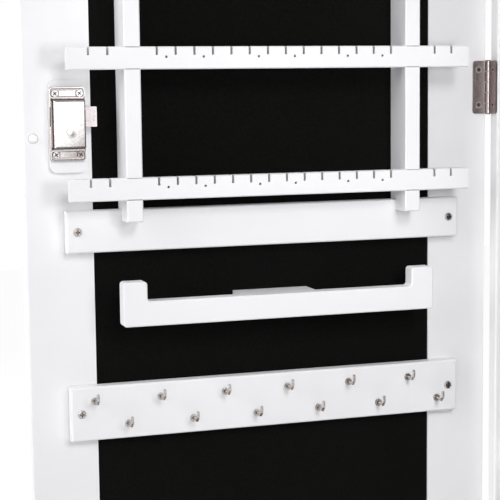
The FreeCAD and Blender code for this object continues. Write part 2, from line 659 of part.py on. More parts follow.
def make_post(label, side):
    """An upright of the racks, lapped over both cross panels and halved at each rack."""
    middle_x = f"({DOOR_MID} + {side} * {POST_HALF})"
    low_x = f"{middle_x} - post_width / 2"
    body = new_body(label, in_door=True)
    sketch = new_sketch(body, "YZ_Plane", low_x)
    over = f"({DOOR_FACE} + panel_thick)"
    low_step = "(-post_low + post_lap)"
    high_step = f"({POST_TOP} - post_lap)"
    add_outline(sketch, [
        (POST_FACE, "-post_low"), (POST_FACE, POST_TOP), (over, POST_TOP), (over, high_step),
        (BACKING_FACE, high_step), (BACKING_FACE, low_step), (over, low_step), (over, "-post_low")])
    pad(body, sketch, "YZ_Plane", "post_width")
    front = number(POST_FACE)
    soften(body, "small_round", lambda edge: middle(edge, "y") > front - 0.1, kind="Chamfer")
    halving = new_sketch(body, "YZ_Plane", low_x)
    add_rectangle(halving, f"{POST_FACE} - panel_thick / 2", POST_FACE,
                  "-rack_low - rack_height", "-rack_low")
    notch = pocket(body, halving, "YZ_Plane", "post_width", towards=1)
    repeat(body, notch, halving, "V_Axis", "rack_pitch", RACKS)
    return body


def make_rack():
    """The lowest earring rack: notched along the top, pierced for studs, halved over both posts."""
    body = board("earring_rack_1", (f"{DOOR_MID} - {PANEL_HALF}", f"{DOOR_MID} + {PANEL_HALF}"),
                 (f"{POST_FACE} - panel_thick", POST_FACE), ("-rack_height", "0"),
                 in_door=True, level="-rack_low")
    soften(body, "small_round", lambda edge: runs_along(edge, "x"), kind="Chamfer")
    notch = new_sketch(body, "XZ_Plane", POST_FACE)
    first = f"({DOOR_MID} - notch_pitch * {(NOTCHES - 1) / 2})"
    add_rectangle(notch, f"{first} - notch_width / 2", f"{first} + notch_width / 2", "-notch_depth", "0")
    feature = pocket(body, notch, "XZ_Plane", "panel_thick", towards=-1)
    repeat(body, feature, notch, "H_Axis", "notch_pitch", NOTCHES)
    outer = new_sketch(body, "XZ_Plane", POST_FACE)
    for side in (-1, 1):
        for step in (0, 1):
            centre = f"({DOOR_MID} + {side} * ({PANEL_HALF} - end_notch - notch_pitch * {step}))"
            add_rectangle(outer, f"{centre} - notch_width / 2", f"{centre} + notch_width / 2",
                          "-notch_depth", "0")
    pocket(body, outer, "XZ_Plane", "panel_thick", towards=-1)
    centres = [(f"{DOOR_MID} + {side} * notch_pitch * {step}", "-stud_drop")
               for side in (-1, 1) for step in STUD_STEPS]
    drill(body, "XZ_Plane", POST_FACE, centres, "stud_radius", "panel_thick", towards=-1)
    lap = new_sketch(body, "XZ_Plane", f"{POST_FACE} - panel_thick")
    for side in (-1, 1):
        centre = f"({DOOR_MID} + {side} * {POST_HALF})"
        add_rectangle(lap, f"{centre} - post_width / 2", f"{centre} + post_width / 2", "-rack_height", "0")
    pocket(body, lap, "XZ_Plane", "panel_thick / 2", towards=1)
    return body


BAR_MID = "(axis_out + cabinet_width / 2 - bar_shift)"
BAR_BACK = f"({DOOR_FACE} + bar_front - bar_thick)"


def make_bracelet_bar():
    """The bar with upturned ends, and the block that holds it off the backing."""
    body = new_body("bracelet_bar", in_door=True)
    sketch = new_sketch(body, "XZ_Plane", f"{DOOR_FACE} + bar_front")
    low, main = "-bar_low", "(-bar_low + bar_height)"
    tip = "(-bar_low + bar_height + bar_rise)"
    add_outline(sketch, [
        (f"{BAR_MID} - {BAR_HALF}", low), (f"{BAR_MID} + {BAR_HALF}", low),
        (f"{BAR_MID} + {BAR_HALF}", tip), (f"{BAR_MID} + {BAR_HALF} - bar_end", tip),
        (f"{BAR_MID} + {BAR_HALF} - bar_end", main), (f"{BAR_MID} - {BAR_HALF} + bar_end", main),
        (f"{BAR_MID} - {BAR_HALF} + bar_end", tip), (f"{BAR_MID} - {BAR_HALF}", tip)])
    pad(body, sketch, "XZ_Plane", "bar_thick", towards=-1)
    soften(body, "bar_round", lambda edge: runs_along(edge, "y"))
    front = number(f"{DOOR_FACE} + bar_front")
    soften(body, "small_round", lambda edge: middle(edge, "y") > front - 0.1, kind="Chamfer")
    block = board("bar_block", (f"{BAR_MID} - block_half", f"{BAR_MID} + block_half"),
                  (BACKING_FACE, BAR_BACK),
                  (f"{main} - block_height", main), in_door=True)
    return body, block


# ---------------------------------------------------------------- lock

def lock_screw_places():
    """The four screws of the lock case, seen on the door's inner face."""
    return [(f"{LOCK_X} {side} lock_screw_side", f"-lock_level {turn} lock_screw_up")
            for side in "+-" for turn in "+-"]


def make_packer():
    """The white plate under the lock."""
    middle_z = "(-lock_level - packer_drop)"
    body = board("packer_plate", (f"{LOCK_X} - packer_width / 2", f"{LOCK_X} + packer_width / 2"),
                 (DOOR_FACE, PACKER_FACE),
                 (f"{middle_z} - packer_height / 2", f"{middle_z} + packer_height / 2"), in_door=True)
    soften(body, "packer_round", lambda edge: runs_along(edge, "y"))
    drill(body, "XZ_Plane", PACKER_FACE, lock_screw_places(), SCREW_HOLE, "packer_thick", towards=-1)
    bore(body, "XZ_Plane", PACKER_FACE, [(LOCK_X, "-lock_level")], "barrel_out + fit_gap",
         "packer_thick", towards=-1)
    return body


def make_lock_case():
    """Pressed case: flanges with a bar between their screws, raised cover, barrel to the mirror side."""
    body = new_body("lock_case", in_door=True)
    flange = new_sketch(body, "XZ_Plane", FLANGE_FACE)
    add_rectangle(flange, f"{LOCK_X} - case_width / 2", f"{LOCK_X} + case_width / 2",
                  "-lock_level - case_height / 2", "-lock_level + case_height / 2")
    pad(body, flange, "XZ_Plane", "case_flange", towards=-1)
    soften(body, "case_round", lambda edge: runs_along(edge, "y"))
    rim = number(FLANGE_FACE)
    soften(body, "rib_rise", lambda edge: middle(edge, "y") > rim - 0.1, kind="Chamfer")
    cover = new_sketch(body, "XZ_Plane", FLANGE_FACE)
    add_rectangle(cover, COVER_SIDE, f"{COVER_SIDE} + cover_width",
                  "-lock_level - cover_height / 2", "-lock_level + cover_height / 2")
    pad(body, cover, "XZ_Plane", "cover_rise", towards=1)
    top = number(COVER_FACE)
    soften(body, "cover_bevel", lambda edge: middle(edge, "y") > top - 0.1, kind="Chamfer")
    for turn in "+-":
        rib = new_sketch(body, "XZ_Plane", FLANGE_FACE)
        level = f"(-lock_level {turn} lock_screw_up)"
        add_rectangle(rib, f"{LOCK_X} - rib_half", f"{LOCK_X} + rib_half",
                      f"{level} - rib_height / 2", f"{level} + rib_height / 2")
        pad(body, rib, "XZ_Plane", "rib_rise", towards=1)
    rivet = new_sketch(body, "XZ_Plane", COVER_FACE)
    add_circle(rivet, LOCK_X, "-lock_level - rivet_drop", "rivet_radius")
    pad(body, rivet, "XZ_Plane", "rivet_rise", towards=1)
    rivet_top = top + size("rivet_rise")
    soften(body, "rivet_rise / 2", lambda edge: middle(edge, "y") > rivet_top - 0.1, kind="Chamfer")
    barrel = new_sketch(body, "XZ_Plane", PACKER_FACE)
    add_circle(barrel, LOCK_X, "-lock_level", "barrel_out")
    pad(body, barrel, "XZ_Plane", "packer_thick + frame_thick + escutcheon_thick", towards=-1)
    add_lock_bores(body)
    return body


def add_lock_bores(body):
    """Bore of the plug, channel of the bolt and holes of the screws in the lock case."""
    bore(body, "XZ_Plane", f"{DOOR_FRONT} - escutcheon_thick", [(LOCK_X, "-lock_level")],
         "plug_radius + plug_gap", "escutcheon_thick + frame_thick + packer_thick", towards=1)
    channel = new_sketch(body, "YZ_Plane", COVER_SIDE)
    add_rectangle(channel, f"{BOLT_Y} - fit_gap", f"{BOLT_Y} + bolt_thick + fit_gap",
                  f"{BOLT_Z} - bolt_height / 2 - fit_gap", f"{BOLT_Z} + bolt_height / 2 + fit_gap")
    pocket(body, channel, "YZ_Plane", "bolt_inside + bolt_travel + 1", towards=1)
    drill(body, "XZ_Plane", FLANGE_FACE, lock_screw_places(), SCREW_HOLE, "case_flange", towards=-1)


def make_bolt():
    """The sliding bolt, thrown: it sticks out of the case towards the door's middle."""
    body = board("lock_bolt", (f"{COVER_SIDE} - bolt_out", f"{COVER_SIDE} + bolt_inside"),
                 (BOLT_Y, f"{BOLT_Y} + bolt_thick"),
                 (f"{BOLT_Z} - bolt_height / 2", f"{BOLT_Z} + bolt_height / 2"), in_door=True)
    tip = number(f"{COVER_SIDE} - bolt_out")
    soften(body, "bolt_round", lambda edge: middle(edge, "x") < tip + TOUCH)
    return body


def make_plug():
    """The keyed core of the lock, flush with the barrel's mouth, with its key slot."""
    body = new_body("lock_plug", in_door=True)
    mouth = f"({DOOR_FRONT} - escutcheon_thick)"
    sketch = new_sketch(body, "XZ_Plane", mouth)
    add_circle(sketch, LOCK_X, "-lock_level", "plug_radius")
    pad(body, sketch, "XZ_Plane", "escutcheon_thick + frame_thick + packer_thick - fit_gap", towards=1)
    slot = new_sketch(body, "XZ_Plane", mouth)
    add_rectangle(slot, f"{LOCK_X} - key_slot_width / 2", f"{LOCK_X} + key_slot_width / 2",
                  "-lock_level - key_slot_height / 2", "-lock_level + key_slot_height / 2")
    pocket(body, slot, "XZ_Plane", "key_slot_depth", towards=1)
    return body


def make_escutcheon():
    """The ring round the lock barrel on the mirror side."""
    body = new_body("escutcheon", in_door=True)
    sketch = new_sketch(body, "XZ_Plane", DOOR_FRONT)
    add_circle(sketch, LOCK_X, "-lock_level", "escutcheon_radius")
    pad(body, sketch, "XZ_Plane", "escutcheon_thick", towards=-1)
    front = number(f"{DOOR_FRONT} - escutcheon_thick")
    soften(body, "escutcheon_thick / 2", lambda edge: middle(edge, "y") < front + 0.1, kind="Chamfer")
    bore(body, "XZ_Plane", DOOR_FRONT, [(LOCK_X, "-lock_level")], "barrel_out + screw_gap",
         "escutcheon_thick", towards=-1)
    return body


# ---------------------------------------------------------------- hinges

def knuckle_spans(own):
    """Bottom and top of each knuckle of one leaf, as formulas; the leaves take turns."""
    pitch = f"(hinge_length / {KNUCKLES})"
    spans = []
    for index in range(KNUCKLES):
        if index % 2 == own:
            low = f"(-hinge_length / 2 + {pitch} * {index} + knuckle_gap / 2)"
            high = f"(-hinge_length / 2 + {pitch} * {index + 1} - knuckle_gap / 2)"
            spans.append((low, high))
    return spans


def make_leaf(label, side, own, in_door):
    """A middle hinge leaf: plate, countersunk screw holes, rolled knuckles. side is the way y faces."""
    body = new_body(label, in_door)
    if not in_door:
        set_on_axis(body)
    far = f"{side} * hinge_gap / 2"
    near = f"{side} * (hinge_gap / 2 - leaf_thick)"
    back, front = (far, near) if side < 0 else (near, far)
    plate = new_sketch(body, "XZ_Plane", front)
    add_rectangle(plate, "barrel_radius + barrel_gap", "leaf_reach", "-hinge_length / 2", "hinge_length / 2")
    pad(body, plate, "XZ_Plane", "leaf_thick", towards=-1)
    free_edge = size("leaf_reach") - TOUCH
    soften(body, "leaf_round", lambda edge: runs_along(edge, "y") and middle(edge, "x") > free_edge)
    for low, high in knuckle_spans(own):
        roll = new_sketch(body, "XY_Plane", low)
        add_circle(roll, "0", "0", "barrel_radius")
        pad(body, roll, "XY_Plane", f"{high} - {low}")
        tongue = new_sketch(body, "XY_Plane", low)
        add_rectangle(tongue, "pin_radius", "barrel_radius + barrel_gap + 1", back, front)
        pad(body, tongue, "XY_Plane", f"{high} - {low}")
    bore(body, "XY_Plane", "-hinge_length / 2", [("0", "0")], "pin_radius + pin_gap",
         "hinge_length", towards=1)
    centres = [("hinge_screw_in", f"{turn}hinge_screw_half") for turn in ("", "-")]
    drill(body, "XZ_Plane", front, centres, SCREW_HOLE, "leaf_thick", towards=-1)
    face = number(near)
    soften(body, "hinge_head - screw_shank - screw_gap",
           lambda edge: is_rim(edge, number(SCREW_HOLE)) and abs(middle(edge, "y") - face) < 0.01,
           kind="Chamfer")
    return body


def set_on_axis(thing):
    """Bring a piece of the box to the hinge axis."""
    thing.setExpression("Placement.Base.x", bound(AXIS_X))
    thing.setExpression("Placement.Base.y", bound(AXIS_Y))


def make_pins():
    """The pins of the three hinges, with a small head at each end."""
    length = size("hinge_length")
    radius = size("pin_radius")
    rim = size("barrel_radius") * 0.9
    cap = 0.7
    pins = []
    for place in HINGE_LEVELS.values():
        foot = number(f"{HINGE_OFFSET} * {place} - hinge_length / 2")
        shaft = Part.makeCylinder(radius, length, Z_AXIS * foot, Z_AXIS)
        heads = [prism(rim, foot - cap, foot), prism(rim, foot + length, foot + length + cap)]
        pins.append(shaft.fuse(heads).removeSplitter())
    group("hinge_pins", pins, in_door=True)


# ---------------------------------------------------------------- groups of like fasteners

def group(label, solids, in_door):
    """Like pieces in one node, each its own solid, with the node's place set after the shape."""
    feature = doc.addObject("Part::Feature", label)
    feature.Label = label
    feature.Shape = Part.makeCompound(solids)
    if in_door:
        place(feature, True)
    return feature


def prism(radius, low, high):
    """An upright piece between two levels, with the flats of the small bores."""
    corners = [FreeCAD.Vector(radius * part_x, radius * part_y, low) for part_x, part_y in flats()]
    return Part.Face(Part.makePolygon(corners + corners[:1])).extrude(Z_AXIS * (high - low))


def make_screw(head, rise, sunk):
    """A screw along +Z with its head's underside or rim at zero: shank, bevelled head, cross recess."""
    shank = size("screw_shank")
    if sunk:
        bevel = (head - shank) * math.cos(math.pi / SIDES)
        low, top, cut_rim = -bevel - TOUCH, 0, -bevel - TOUCH
    else:
        bevel = rise * 0.6
        low, top, cut_rim = 0, rise, rise
    block = prism(head, low, top)
    rim = [edge for edge in block.Edges if abs(middle(edge, "z") - cut_rim) < 0.001]
    solid = block.makeChamfer(bevel, rim).fuse(prism(shank, -size("screw_length"), low))
    arm = size("recess_width")
    long_arm = head * 0.55
    deep = 0.9
    cross = [Part.makeBox(2 * half_x, 2 * half_y, deep, FreeCAD.Vector(-half_x, -half_y, top - deep))
             for half_x, half_y in ((long_arm, arm / 2), (arm / 2, long_arm))]
    return solid.cut(cross[0].fuse(cross[1]))


def set_screws(screw, spots, axis):
    """Copies of a screw at points, heads facing along axis."""
    turn = FreeCAD.Rotation(Z_AXIS, axis)
    solids = []
    for spot in spots:
        copy = screw.copy()
        copy.Placement = FreeCAD.Placement(FreeCAD.Vector(*[number(text) for text in spot]), turn)
        solids.append(copy)
    return solids


def make_screw_groups():
    """The screws of the hinges, panels, lock and strike."""
    inwards = FreeCAD.Vector(0, 1, 0)
    outwards = FreeCAD.Vector(0, -1, 0)
    sunk = make_screw(number("hinge_head - 2 * screw_gap"), 0, sunk=True)
    leaf_top = f"({DOOR_FACE} + leaf_thick)"
    spots = [("hinge_screw_in", leaf_top, level) for level in HINGE_SCREW_LEVELS]
    group("hinge_screws_door", set_screws(sunk, spots, inwards), in_door=True)
    spots = [(f"{AXIS_X} + hinge_screw_in", "-cabinet_depth - leaf_thick", level)
             for level in HINGE_SCREW_LEVELS]
    screws = set_screws(sunk, spots, outwards)
    pan = make_screw(size("lock_head"), size("head_rise"), sunk=False)
    spots = [(f"{INNER_HALF} - strike_thick", STRIKE_SCREW_Y, f"{BOLT_Z} {turn} strike_height / 4")
             for turn in "+-"]
    screws += set_screws(pan, spots, FreeCAD.Vector(-1, 0, 0))
    group("cabinet_screws", screws, in_door=False)
    spots = [(place[0], FLANGE_FACE, place[1]) for place in lock_screw_places()]
    group("lock_screws", set_screws(pan, spots, inwards), in_door=True)
    large = make_screw(size("panel_head"), size("head_rise"), sunk=False)
    spots = [(f"{DOOR_MID} {side} {PANEL_SCREW}", f"{DOOR_FACE} + panel_thick", level)
             for level in PANEL_SCREW_LEVELS for side in "+-"]
    group("panel_screws", set_screws(large, spots, inwards), in_door=True)


def make_hook():
    """An L hook along +Y from a rail's face at zero: collar, shank, knee and upturned tip, with flats."""
    wire = size("hook_wire")
    reach = size("hook_reach")
    rise = size("hook_rise")
    knee = size("hook_bend") + wire
    slant = 2 * wire * (math.sqrt(2) - 1)
    outline = [(0, -wire), (reach - knee, -wire), (reach, knee - wire), (reach, rise),
               (reach - 2 * wire, rise), (reach - 2 * wire, knee + slant - wire),
               (reach - knee - slant, wire), (0, wire)]
    corners = [FreeCAD.Vector(-wire, along, up) for along, up in outline]
    bar = Part.Face(Part.makePolygon(corners + corners[:1])).extrude(FreeCAD.Vector(2 * wire, 0, 0))
    rims = [edge for edge in bar.Edges if abs(abs(middle(edge, "x")) - wire) < 0.001]
    bent = bar.makeChamfer(wire * (2 - math.sqrt(2)) * 0.9, rims)
    collar = prism(size("collar_radius"), -size("collar_thick"), 0)
    collar.rotate(FreeCAD.Vector(), FreeCAD.Vector(1, 0, 0), 90)
    return bent.fuse(collar).removeSplitter()


def make_hooks():
    """Hooks of the door's rail, and of the necklace rail in the box."""
    hook = make_hook()
    solids = []
    for place_x, place_z in door_hook_places():
        copy = hook.copy()
        copy.translate(FreeCAD.Vector(number(place_x), number(f"{DOOR_FACE} + panel_thick"),
                                      number(f"{HOOK_RAIL} + {place_z}")))
        solids.append(copy)
    group("door_hooks", solids, in_door=True)
    solids = []
    for place in hook_places(NECKLACE_HOOKS):
        copy = hook.copy()
        copy.rotate(FreeCAD.Vector(), Z_AXIS, 180)
        copy.translate(FreeCAD.Vector(number(f"{NECKLACE_PITCH} * {place}"),
                                      number(f"{LINING_FACE} - panel_thick"), number(NECKLACE_LEVEL)))
        solids.append(copy)
    group("necklace_hooks", solids, in_door=False)


def make_bumpers():
    """Tapered bumpers on the lock stile, over the edge of the side panel."""
    radius = size("bumper_radius")
    far = f"({HALF_HIGH} - bumper_end)"
    edge_x = number(f"{DOOR_MID} + {HALF_WIDE} - bumper_in")
    solids = []
    for level in (f"-{far}", "-bumper_low", far):
        spot = FreeCAD.Vector(edge_x, number(DOOR_FACE), number(level))
        rise = FreeCAD.Vector(0, 1, 0)
        solids.append(Part.makeCone(radius, radius * 0.55, size("bumper_rise"), spot, rise))
    group("bumpers", solids, in_door=True)


def build_box():
    make_side_panel("side_panel_left", -1)
    make_side_panel("side_panel_right", 1)
    make_end_panel("top_panel", 1)
    make_end_panel("bottom_panel", -1)
    make_back()
    make_hanging_rail("hanging_rail_top", 1)
    make_hanging_rail("hanging_rail_bottom", -1)
    for index in range(SHELVES):
        make_shelf(index)
    make_necklace_rail()
    make_strike()


def build_door():
    lock_stile = make_frame_member("lock_stile", True, 1)
    hinge_stile = make_frame_member("hinge_stile", True, -1)
    drill_stiles(lock_stile, hinge_stile)
    make_frame_member("door_rail_top", False, 1)
    make_frame_member("door_rail_bottom", False, -1)
    make_infill()
    make_cross_panel("cross_panel_bottom", LOW_PANEL, "panel_height")
    make_cross_panel("cross_panel_top", HIGH_PANEL, "panel_height")
    make_cross_panel("hook_rail", HOOK_RAIL, "hook_rail_height")
    make_post("post_left", 1)
    make_post("post_right", -1)
    rack = make_rack()
    for index in range(1, RACKS):
        copy_of(rack, f"earring_rack_{index + 1}", True, f"-rack_low + rack_pitch * {index}")
    make_bracelet_bar()
    make_packer()
    make_lock_case()
    make_bolt()
    make_plug()
    make_escutcheon()


def build_hinges():
    door_leaf = make_leaf("hinge_leaf_door_middle", -1, 1, True)
    box_leaf = make_leaf("hinge_leaf_cabinet_middle", 1, 0, False)
    for name in ("bottom", "top"):
        level = f"{HINGE_OFFSET} * {HINGE_LEVELS[name]}"
        copy_of(door_leaf, f"hinge_leaf_door_{name}", True, level)
        set_on_axis(copy_of(box_leaf, f"hinge_leaf_cabinet_{name}", False, level))
    make_pins()


def check_and_write():
    """Refuse failed objects and broken shapes, then write each sub-part to its own file."""
    doc.recompute()
    for thing in doc.Objects:
        if {"Invalid", "Error"} & set(thing.State):
            raise ValueError(f"{thing.Label} failed: {thing.State}")
    os.makedirs("parts", exist_ok=True)
    parts = [thing for thing in doc.Objects
             if thing.TypeId == "PartDesign::Body" or thing.TypeId == "Part::Feature"]
    for thing in parts:
        if thing.Shape.isNull() or not thing.Shape.isValid():
            raise ValueError(f"{thing.Label} has no valid shape")
        thing.Shape.exportStep(f"parts/{thing.Label}.step")
        print(f"{thing.Label}: {len(thing.Shape.Solids)} solid(s), {thing.Shape.Volume / 1000:.1f} cm3")
    print(f"{len(parts)} sub-parts")


build_box()
build_door()
build_hinges()
make_screw_groups()
make_hooks()
make_bumpers()
check_and_write()
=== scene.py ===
# %% [markdown]
# # A jewelry mirror cabinet with its door open
# The cabinet hangs on a wall, and its mirror door stands open, so that we look at the inner side of the
# door: racks, a bracelet bar and hooks on black velvet in a white frame. The solid pieces arrive ready
# made at their real size. Here they get their finishes, the small things that only a render shows,
# soft studio light and a camera.

# %% Tools and the frame
import math

import bmesh
import bpy
from mathutils import Matrix, Vector
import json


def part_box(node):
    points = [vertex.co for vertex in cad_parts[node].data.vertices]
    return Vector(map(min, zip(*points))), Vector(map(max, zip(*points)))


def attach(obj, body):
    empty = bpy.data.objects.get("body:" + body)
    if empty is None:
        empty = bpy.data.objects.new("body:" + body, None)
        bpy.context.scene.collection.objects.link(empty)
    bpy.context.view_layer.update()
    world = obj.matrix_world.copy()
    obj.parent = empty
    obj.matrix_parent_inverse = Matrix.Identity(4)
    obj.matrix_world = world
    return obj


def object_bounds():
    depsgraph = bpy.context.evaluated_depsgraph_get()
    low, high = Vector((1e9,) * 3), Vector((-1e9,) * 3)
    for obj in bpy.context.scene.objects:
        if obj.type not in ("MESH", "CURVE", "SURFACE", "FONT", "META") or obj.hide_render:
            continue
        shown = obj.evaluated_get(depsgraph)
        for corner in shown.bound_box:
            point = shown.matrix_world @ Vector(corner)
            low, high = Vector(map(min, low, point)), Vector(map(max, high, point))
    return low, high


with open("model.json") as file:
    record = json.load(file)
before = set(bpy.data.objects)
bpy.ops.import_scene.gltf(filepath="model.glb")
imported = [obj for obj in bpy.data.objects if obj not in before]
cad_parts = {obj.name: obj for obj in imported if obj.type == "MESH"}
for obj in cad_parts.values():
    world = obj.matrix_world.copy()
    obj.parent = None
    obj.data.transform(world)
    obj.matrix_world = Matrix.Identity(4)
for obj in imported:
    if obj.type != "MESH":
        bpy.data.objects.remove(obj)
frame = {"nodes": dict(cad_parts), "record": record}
NODES = frame["nodes"]
solid_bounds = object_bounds()

# %% [markdown]
# ## Where the door's parts are
# Places could be typed in, but they would go stale when a solid changes, so they are read from the
# solids. The door's inner face looks along +X, its hinge side is at +Y and its free edge at -Y.

# %% Places read from the solids
MM = 0.001
LOCK_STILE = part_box("lock_stile")
DOOR_FACE_X = LOCK_STILE[1].x
DOOR_MID_Y = (LOCK_STILE[0].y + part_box("hinge_stile")[1].y) / 2
DOOR_CENTRE = Vector((DOOR_FACE_X, DOOR_MID_Y, 0))
print("door face at x =", round(DOOR_FACE_X, 4), "middle at y =", round(DOOR_MID_Y, 4))

# %% [markdown]
# ## The camera
# The photographer stood a metre in front of the door, a little to the left of its free edge, at the
# height of the middle hinge, and looked slightly down and to the right. The numbers come from solving
# the straight edges of the frame and racks. A camera could be aimed with a constraint, but that leaves
# no roll to set, so its rotation is built from the three directions right, up and back: a camera looks
# along its own -Z.

# %% Camera
FOCAL_PIXELS = 1463.3
PHOTO_PIXELS = 500
SENSOR_MM = 36
NEAR_CLIP = 0.05
CAMERA_OUT = 1.0553
CAMERA_LEFT = 0.3583
CAMERA_UP = 0.00405
YAW = math.radians(18.08)
PITCH = math.radians(-6.44)
ROLL = math.radians(-0.66)


def add_camera():
    """A camera at the photograph's place, turned by yaw, pitch and roll."""
    forward = Vector((-math.cos(YAW) * math.cos(PITCH), math.sin(YAW) * math.cos(PITCH), math.sin(PITCH)))
    right = forward.cross(Vector((0, 0, 1))).normalized()
    above = right.cross(forward)
    rolled_right = right * math.cos(ROLL) + above * math.sin(ROLL)
    rolled_above = above * math.cos(ROLL) - right * math.sin(ROLL)
    turn = Matrix((rolled_right, rolled_above, -forward)).transposed()
    data = bpy.data.cameras.new("photo_camera")
    data.sensor_width = SENSOR_MM
    data.lens = FOCAL_PIXELS * SENSOR_MM / PHOTO_PIXELS
    data.clip_start = NEAR_CLIP
    camera = bpy.data.objects.new("photo_camera", data)
    place = Vector((DOOR_FACE_X + CAMERA_OUT, DOOR_MID_Y - CAMERA_LEFT, CAMERA_UP))
    camera.matrix_world = Matrix.Translation(place) @ turn.to_4x4()
    bpy.context.scene.collection.objects.link(camera)
    bpy.context.scene.camera = camera
    return camera


camera = add_camera()
bpy.context.scene.view_settings.view_transform = "Standard"
print("camera lens:", round(camera.data.lens, 2), "mm")

# %% [markdown]
# ## Helpers for node trees
# Finishes and surroundings are trees of nodes. The same three things come up all the time: one step of
# arithmetic, a number that climbs with another, and the question whether a ray looks at a surface or
# only brings light to the next one. Each is a short function that returns a socket to link from.

# %% Helpers for numbers
def combine(tree, operation, first, second):
    """One math node over two values or sockets."""
    node = tree.nodes.new("ShaderNodeMath")
    node.operation = operation
    for value, socket in zip((first, second), node.inputs):
        if isinstance(value, (int, float)):
            socket.default_value = value
        else:
            tree.links.new(value, socket)
    return node.outputs[0]


def climb(tree, value, start, end, low=0.0, high=1.0):
    """A number that goes from low to high while a socket's value goes from start to end."""
    spread = tree.nodes.new("ShaderNodeMapRange")
    for name, number in (("From Min", start), ("From Max", end), ("To Min", low), ("To Max", high)):
        spread.inputs[name].default_value = number
    tree.links.new(value, spread.inputs["Value"])
    return spread.outputs["Result"]


def looked_at(tree):
    """1 for a ray of the camera, a reflection or glass, 0 for a ray that only brings light."""
    path = tree.nodes.new("ShaderNodeLightPath")
    seen = combine(tree, "MAXIMUM", path.outputs["Is Camera Ray"], path.outputs["Is Glossy Ray"])
    return combine(tree, "MAXIMUM", seen, path.outputs["Is Transmission Ray"])


print("number helpers:", combine.__name__, climb.__name__, looked_at.__name__)

# %% [markdown]
# ## Light and surroundings
# A white product picture needs light from everywhere. A picture of a real studio could wrap the scene, but
# a plain world is calmer on white. It is white where the camera, a reflection or glass looks at it, and
# softer where it lights the object, so the whites stay whites without washing out.

# %% World
WORLD_LIGHT = 0.38
WORLD_WHITE = 1.0


def make_world():
    """White to look at, softer as a source of light."""
    world = bpy.data.worlds.new("studio")
    world.use_nodes = True
    tree = world.node_tree
    background = tree.nodes["Background"]
    strength = climb(tree, looked_at(tree), 0, 1, WORLD_LIGHT, WORLD_WHITE)
    tree.links.new(strength, background.inputs["Strength"])
    background.inputs["Color"].default_value = (1, 1, 1, 1)
    bpy.context.scene.world = world
    return world


print("world:", make_world().name)

# %% [markdown]
# The lamps give the shapes their sides. The key lamp stands above and in front of the door's inner side
# and draws the small shadows under racks and bars. A wide lamp in front of the wall lights the open box, a
# small one lifts the hinge stile, which the box shades, and one lights the mirror side. They are soft
# squares, since a point lamp would throw hard shadows that a studio doesn't have.

# %% Lamps
def add_lamp(name, place, target, width, power):
    """A square soft lamp that faces its target; width in metres, power in watts."""
    data = bpy.data.lights.new(name, "AREA")
    data.shape = "SQUARE"
    data.size = width
    data.energy = power
    lamp = bpy.data.objects.new(name, data)
    lamp.visible_camera = False
    lamp.location = place
    lamp.rotation_euler = (Vector(target) - Vector(place)).to_track_quat("-Z", "Y").to_euler()
    bpy.context.scene.collection.objects.link(lamp)
    return lamp


lamps = [
    add_lamp("key_lamp", DOOR_CENTRE + Vector((1.7, 0.12, 1.0)), DOOR_CENTRE, width=0.6, power=13),
    add_lamp("front_lamp", Vector((0.3, -2.6, 0.8)), Vector((0, -0.05, 0)), width=1.6, power=34),
    add_lamp("hinge_side_lamp", DOOR_CENTRE + Vector((0.5, 0.13, 0)), DOOR_CENTRE + Vector((0, 0.17, 0)),
             width=0.14, power=0.85),
    add_lamp("mirror_side_lamp", Vector((-2.4, -1.4, 0.9)), Vector((-0.1, -0.15, 0)), width=1.4, power=30),
]
print("lamps:", [lamp.name for lamp in lamps])

# %% [markdown]
# ## The floor
# The cabinet hangs on a wall, so the floor is some way below it and only catches a faint shadow. A floor
# lit by lamps alone would be grey, so the larger share of what we see of it is plain white, and the rest
# is a matt surface that keeps the shadow.

# %% Floor
FLOOR_DROP = 0.25
FLOOR_HALF = 6.0
WHITE_SHARE = 0.7
WHITE_STRENGTH = 1.22


def new_material(name):
    """A material with its node tree and its main shader."""
    material = bpy.data.materials.new(name)
    material.use_nodes = True
    return material, material.node_tree, material.node_tree.nodes["Principled BSDF"]


def make_floor_material():
    """Matt and pale as a source of light, mostly plain white to look at."""
    material, tree, shader = new_material("pale_floor")
    shader.inputs["Base Color"].default_value = (0.93, 0.93, 0.93, 1)
    shader.inputs["Roughness"].default_value = 0.9
    plain = tree.nodes.new("ShaderNodeEmission")
    plain.inputs["Strength"].default_value = WHITE_STRENGTH
    choice = tree.nodes.new("ShaderNodeMixShader")
    tree.links.new(combine(tree, "MULTIPLY", looked_at(tree), WHITE_SHARE), choice.inputs["Fac"])
    tree.links.new(shader.outputs["BSDF"], choice.inputs[1])
    tree.links.new(plain.outputs["Emission"], choice.inputs[2])
    tree.links.new(choice.outputs["Shader"], tree.nodes["Material Output"].inputs["Surface"])
    return material


def add_floor():
    """A wide floor below the cabinet."""
    low = solid_bounds[0][2] - FLOOR_DROP
    corners = [(x * FLOOR_HALF, y * FLOOR_HALF, low) for x, y in ((-1, -1), (1, -1), (1, 1), (-1, 1))]
    mesh = bpy.data.meshes.new("floor")
    mesh.from_pydata(corners, [], [(0, 1, 2, 3)])
    mesh.materials.append(make_floor_material())
    floor = bpy.data.objects.new("floor", mesh)
    bpy.context.scene.collection.objects.link(floor)
    return low


print("floor at z =", round(add_floor(), 3))
